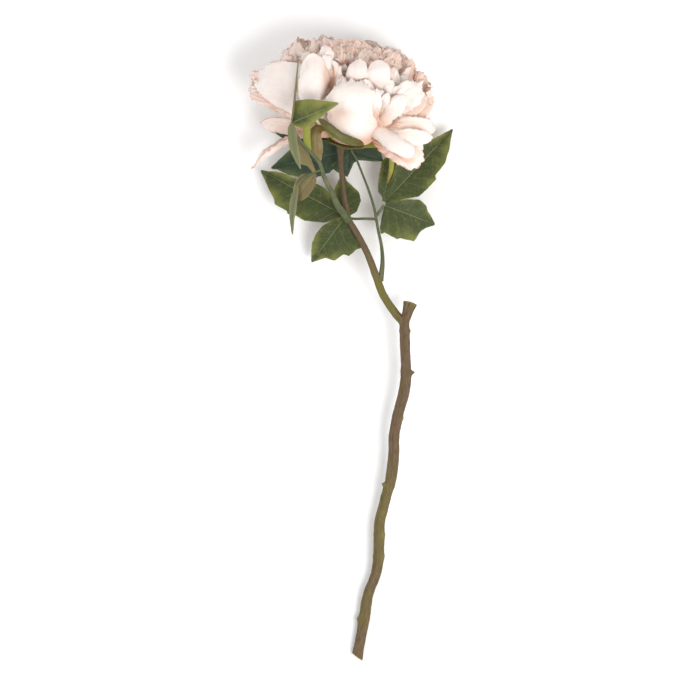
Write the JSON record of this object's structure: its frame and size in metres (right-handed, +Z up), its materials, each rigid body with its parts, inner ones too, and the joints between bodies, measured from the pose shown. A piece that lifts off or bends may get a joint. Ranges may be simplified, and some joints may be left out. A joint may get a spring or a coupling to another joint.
{
  "type": "artificial peony stem",
  "caption": "Artificial peony spray lying on a surface: a full cream-blush bloom with ruffled petals, a green calyx, a forked bark-textured stem and lobed compound leaves on thin stalks.",
  "frame": {"origin": "on the surface that the spray lies on, below the middle of its bounding box", "axes": "+Y along the stem from its cut end to the bloom, +Z up from the surface, +X to the right as seen from above"},
  "size_m": [0.184, 0.5613, 0.1264],
  "materials": {
    "petals": "matt woven petal fabric, creamy white with a faint blush, warm peach in the folds and brownish pink on the frayed edges",
    "sepals": "satin moulded plastic, olive to lime green with tan shading towards the tips",
    "bark": "moulded bark in mauve brown with olive streaks, long ridges and old leaf scars",
    "stalks": "satin grey-green moulded plastic with faint length-wise lines",
    "leaves": "printed leaf fabric, dark green with lighter yellow-green margins and veins, dull tan to grey-green underneath"
  },
  "bodies": {
    "root": {"bloom": "petals", "calyx": "sepals", "stem": "bark", "leaf_stalk_lower": "stalks", "leaf_stalk_upper": "stalks", "leaf_left": "leaves", "leaf_right": "leaves", "leaf_back": "leaves", "leaf_front_top": "leaves", "leaf_front_side": "leaves"}
  },
  "joints": []
}
